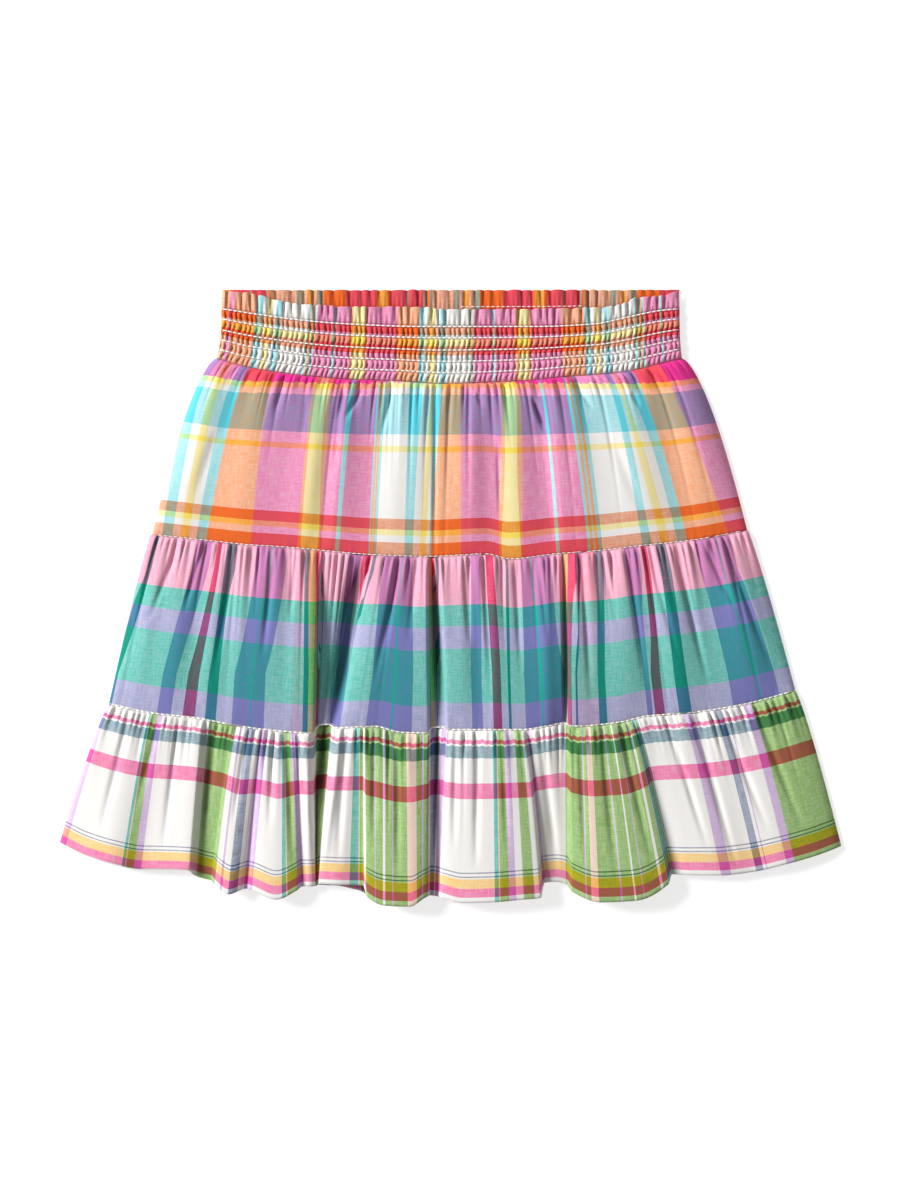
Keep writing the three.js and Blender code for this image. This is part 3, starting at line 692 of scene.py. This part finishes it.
def bandWaist(x):
    # where a place across the header's edge comes down at the waist seam
    share = (x - headerEdge[0][0]) / (headerEdge[-1][0] - headerEdge[0][0])
    return mix(waistSeam[0][0], waistSeam[-1][0], share)


def frontBand(material):
    headerY, elasticY, seamY = smooth(headerEdge), smooth(firstElastic), smooth(waistSeam)
    clothX, drift = straight(band["stripes"]), straight(band["drift"])
    left, right = headerEdge[0][0], headerEdge[-1][0]
    between = band["rowsBetween"]
    rows = band["headerRows"] + between * (len(band["elastic"]) - 1)

    def place(c, r):
        x = mix(left, right, c / band["across"])
        turns = (x - left) / (right - left) * band["puckers"]
        if r < band["headerRows"]:
            share = r / band["headerRows"]
            wobble = spread(math.floor(turns / 3)) * band["ragged"]
            free = (1 - share) ** 0.8
            frillTurn = (x - left) / (right - left) * band["frills"]
            frillTurn += waves(frillTurn, band["uneven"])
            frillTurn += band["twist"] * share * math.sin(turns * 0.7)
            # broad frills with sharp creases between
            billow = abs(math.sin(math.pi * frillTurn)) ** band["frillPower"]
            frill = billow * mix(0.65, 1.1, spread(math.floor(frillTurn) + 5))
            pucker = (0.5 - 0.5 * math.cos(2 * math.pi * turns)) * share ** 1.5 * (1 - share ** 8)
            y = mix(headerY(x) - band["dip"] * free * (1 - frill) - wobble * free, elasticY(x), share)
            z = band["frill"] * frill * (0.35 + 0.65 * free) * (1 - share ** 6) + 0.9 * pucker
            x += band["curl"] * free * math.sin(4 * math.pi * frillTurn)
            t = band["headerCloth"] * share
            # painted shade in the creases between frills and along the header's foot above the elastic
            shade = 1 - band["creaseShade"] * mix(0.7, 1, share) * (1 - billow) ** 1.4
            shade *= 1 - band["footShade"] * math.exp(-(((share - 0.93) / 0.06) ** 2))
        else:
            step = r - band["headerRows"]
            k = min(step // between, len(band["elastic"]) - 2)
            inside = step / between - k
            down = mix(band["elastic"][k], band["elastic"][k + 1], inside)
            sway = band["sway"] * math.sin(2 * math.pi * inside + 2.5 * k)
            sway += band["stray"] * math.sin(2.1 * turns + 1.9 * k)
            phase = turns + band["lean"] * (inside - 0.5) + sway + 0.25 * k
            ridge = abs(math.sin(math.pi * phase)) ** band["ridgePower"]
            belly = max(math.sin(math.pi * inside), 0) ** 0.8
            tall = band["puff"] * mix(0.7, 1.15, spread(math.floor(phase) + 31 * k))
            z = 0.1 + belly * tall * (0.12 + 0.88 * ridge)
            wide = mix(x, bandWaist(x), down ** 3)
            y = mix(elasticY(x), seamY(wide), down)
            x = wide
            t = band["headerCloth"] + band["shirredCloth"] * down
            # painted shade in the creases between puckers
            shade = 1 - band["creaseShade"] * belly * (1 - ridge) ** 1.2
        edge = min(x - (left - 3 * r / rows), (right + 1.5 * r / rows) - x)
        roll = clamp(edge / band["roll"])
        z = mix(lay["side"], band["lay"] + z, math.sqrt(1 - (1 - roll) ** 2))
        strayed = drift(x) * (t / (band["headerCloth"] + band["shirredCloth"]) - 0.45)
        return (x, y, z), (clothX(x - strayed), t), shade

    piece = clothSheet("waistbandFront", band["across"], rows, place, 0.4)
    piece.data.materials.append(material)
    return piece


backHeader = {
    "top": 181.5, "frills": 40, "frill": 2.2, "frillPower": 0.5, "uneven": [(0.25, 1.3, 2)],
    "across": 560, "showRows": 12, "rows": 34, "finePitch": 2.7, "dip": 0.7,
    "cloth": 20, "startAt": -75.2, "start": 26.0, "gathered": 0.6,  # the cloth's own 26 mm shows at x = -75.2
}


def backBand(material):
    headerY, waistY = smooth(headerEdge), smooth(backWaist)
    left, right = headerEdge[0][0], headerEdge[-1][0]
    show = backHeader["showRows"]

    def place(c, r):
        x = mix(left, right, c / backHeader["across"])
        turns = (x - left) / (right - left) * backHeader["frills"]
        turns += waves(turns, backHeader["uneven"])
        billow = abs(math.sin(math.pi * turns)) ** backHeader["frillPower"]
        wave = billow * mix(0.6, 1.1, spread(math.floor(turns) + 9))
        fine = 0.5 - 0.5 * math.cos(2 * math.pi * (x - left) / backHeader["finePitch"])
        under = max(backHeader["top"] - headerY(x) + 1.5, 1.5)
        shade = 1
        showing = clamp((under - 2) / 6)
        if r <= show:
            share = r / show
            y = backHeader["top"] - share * under - backHeader["dip"] * (1 - wave) * (1 - share) * showing
            # painted shade in the creases between the back header's frills
            shade = 1 - band["creaseShade"] * showing * mix(0.5, 1, share) * (1 - billow) ** 1.4
            ruffled = backHeader["frill"] * wave * (1 - 0.6 * share) + 0.5 * fine * share
            z = 1 + showing * ruffled * (1 - share ** 8)
        else:
            share = (r - show) / (backHeader["rows"] - show)
            wide = 0.995 * mix(x, bandWaist(x), share ** 3)
            y = mix(backHeader["top"] - under, waistY(wide), share)
            inset = clamp(min(c, backHeader["across"] - c) / 8)
            z = 0.6 + 1.3 * fine * math.sin(math.pi * share) ** 0.3 * inset
            x = wide
        edge = clamp(min(c, backHeader["across"] - c) / 6)
        z = mix(lay["side"] - 0.1, z, edge)
        s = backHeader["start"] + (x - backHeader["startAt"]) / backHeader["gathered"]
        return (x, y, z), (s, backHeader["cloth"] * r / backHeader["rows"]), shade

    piece = clothSheet("waistbandBack", backHeader["across"], backHeader["rows"], place, 0.4)
    piece.data.materials.append(material)
    return piece


waistFront = frontBand(warmBand)
waistBack = backBand(warmBackHeader)
print("waistband shirred")


def elasticThread():
    material = bpy.data.materials.new("elasticThread")
    material.use_nodes = True
    surface = material.node_tree.nodes["Principled BSDF"]
    tree = material.node_tree
    place = tree.nodes.new("ShaderNodeTexCoord")
    noise = tree.nodes.new("ShaderNodeTexNoise")
    noise.inputs["Scale"].default_value = 900
    tree.links.new(place.outputs["Object"], noise.inputs["Vector"])
    tint = tree.nodes.new("ShaderNodeValToRGB")
    tint.color_ramp.elements[0].color = (0.84, 0.81, 0.78, 1)
    tint.color_ramp.elements[1].color = (0.97, 0.96, 0.94, 1)
    tree.links.new(noise.outputs["Fac"], tint.inputs[0])
    tree.links.new(tint.outputs[0], surface.inputs["Base Color"])
    surface.inputs["Roughness"].default_value = 0.8
    return material


# Stitches, in millimetres: fine on the middle seam and the back's elastic, edge on the hem tier's seam.
stitch = {
    "pitch": 3, "radius": 0.36, "fine": 0.22, "edge": 0.34, "overBand": 1.8, "overBack": 1.2,
    "overSeam": 0.3, "aboveSeam": 0.2, "fromEdge": 1.2, "fromSide": 4,
    "backRow": (6, 78),  # where the back's first elastic row shows
}


def sewRow(mesh, left, right, path, radius, gap=0.08):
    # a row of short straight stitches; path(x) gives the row's point in millimetres
    count = round((right - left) / stitch["pitch"])
    for i in range(count):
        start = Vector(path(mix(left, right, (i + gap) / count)))
        end = Vector(path(mix(left, right, (i + 1 - gap) / count)))
        turn = (end - start).to_track_quat("Z", "Y").to_matrix().to_4x4()
        turn.translation = (start + end) / 2 * mm
        bmesh.ops.create_cone(
            mesh, cap_ends=True, segments=6, radius1=radius * mm, radius2=radius * mm,
            depth=(end - start).length * mm, matrix=turn,
        )


def sewnPiece(name, mesh, material):
    for face in mesh.faces:
        face.smooth = True
    made = bpy.data.meshes.new(name)
    mesh.to_mesh(made)
    mesh.free()
    piece = bpy.data.objects.new(name, made)
    bpy.context.collection.objects.link(piece)
    piece.data.materials.append(material)
    return piece


def elasticRows(material):
    mesh = bmesh.new()
    elasticY, seamY = smooth(firstElastic), smooth(waistSeam)
    left, right = headerEdge[0][0], headerEdge[-1][0]
    for down in band["elastic"][:-1]:
        def path(x):
            wide = mix(x, bandWaist(x), down ** 3)
            roll = clamp(min(x - left, right - x) / band["roll"])
            z = mix(lay["side"], band["lay"] + stitch["overBand"], math.sqrt(1 - (1 - roll) ** 2))
            return wide, mix(elasticY(x), seamY(wide), down) + 0.5 * down, z

        sewRow(mesh, left + stitch["fromEdge"], right - stitch["fromEdge"], path, stitch["radius"], 0.01)
    headerY = smooth(headerEdge)

    def backPath(x):
        return x, headerY(x) + 1, lay["front"] + stitch["overBack"]

    sewRow(mesh, *stitch["backRow"], backPath, stitch["fine"])
    return sewnPiece("elasticRows", mesh, material)


def seamStitches(material):
    # close topstitching that reads as a pale line along the middle and hem seams
    mesh = bmesh.new()
    sewn = [(middleSeam, middleRise, stitch["fine"]), (hemSeam, hemSeamRise, stitch["edge"])]
    for seam, rise, radius in sewn:
        seamY, seamRise = smooth(seam), smooth(rise)

        def path(x):
            return x, seamY(x) + stitch["aboveSeam"], lay["front"] + seamRise(x) + stitch["overSeam"]

        sewRow(mesh, seam[0][0] + stitch["fromSide"], seam[-1][0] - stitch["fromSide"], path, radius, -0.02)
    return sewnPiece("seamStitches", mesh, material)


thread = elasticThread()
elastic = elasticRows(thread)
seams = seamStitches(thread)
print("elastic rows and seams sewn")

pieces = [
    (waistFront, "waistband_front", "warm_plaid"), (waistBack, "waistband_back", "warm_plaid"),
    (upperFront, "tier_1_front", "warm_plaid"), (upperBack, "tier_1_back", "warm_plaid"),
    (middleFront, "tier_2_front", "cool_plaid"), (middleBack, "tier_2_back", "cool_plaid"),
    (hemFront, "tier_3_front", "light_plaid"), (hemBack, "tier_3_back", "light_plaid"),
]
for piece, node, slot in pieces:
    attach(piece, "root")
    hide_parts(node)
for sewing in (elastic, seams):
    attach(sewing, "root")


light = {"world": 0.3, "key": 405, "keySize": 1.7, "keyPlace": (-4.1, 1.7, 2.8)}
stage = {"paper": 0.5, "glow": 0.68}  # a softly lit table keeps the floor pale


def makeStage():
    mesh = bmesh.new()
    bmesh.ops.create_grid(mesh, x_segments=1, y_segments=1, size=3)
    made = bpy.data.meshes.new("floor")
    mesh.to_mesh(made)
    mesh.free()
    floor = bpy.data.objects.new("floor", made)
    floor.location.z = -0.0002
    bpy.context.collection.objects.link(floor)
    paper = bpy.data.materials.new("paleFloor")
    paper.use_nodes = True
    surface = paper.node_tree.nodes["Principled BSDF"]
    surface.inputs["Base Color"].default_value = (stage["paper"], stage["paper"], stage["paper"], 1)
    surface.inputs["Emission Color"].default_value = (1, 1, 1, 1)
    surface.inputs["Emission Strength"].default_value = stage["glow"]
    surface.inputs["Roughness"].default_value = 0.9
    surface.inputs["Specular IOR Level"].default_value = 0.1
    floor.data.materials.append(paper)


def makeLight():
    world = bpy.data.worlds.new("softRoom")
    world.use_nodes = True
    world.node_tree.nodes["Background"].inputs[0].default_value = (1, 1, 1, 1)
    world.node_tree.nodes["Background"].inputs[1].default_value = light["world"]
    bpy.context.scene.world = world
    bpy.context.scene.view_settings.view_transform = "Standard"  # checks keep their own bright colours
    lamp = bpy.data.lights.new("keyLight", "AREA")
    lamp.energy = light["key"]
    lamp.size = light["keySize"]
    holder = bpy.data.objects.new("keyLight", lamp)
    holder.location = light["keyPlace"]
    holder.rotation_euler = (-Vector(light["keyPlace"])).to_track_quat("-Z", "Y").to_euler()
    bpy.context.collection.objects.link(holder)


makeStage()
makeLight()
print("stage and light ready")
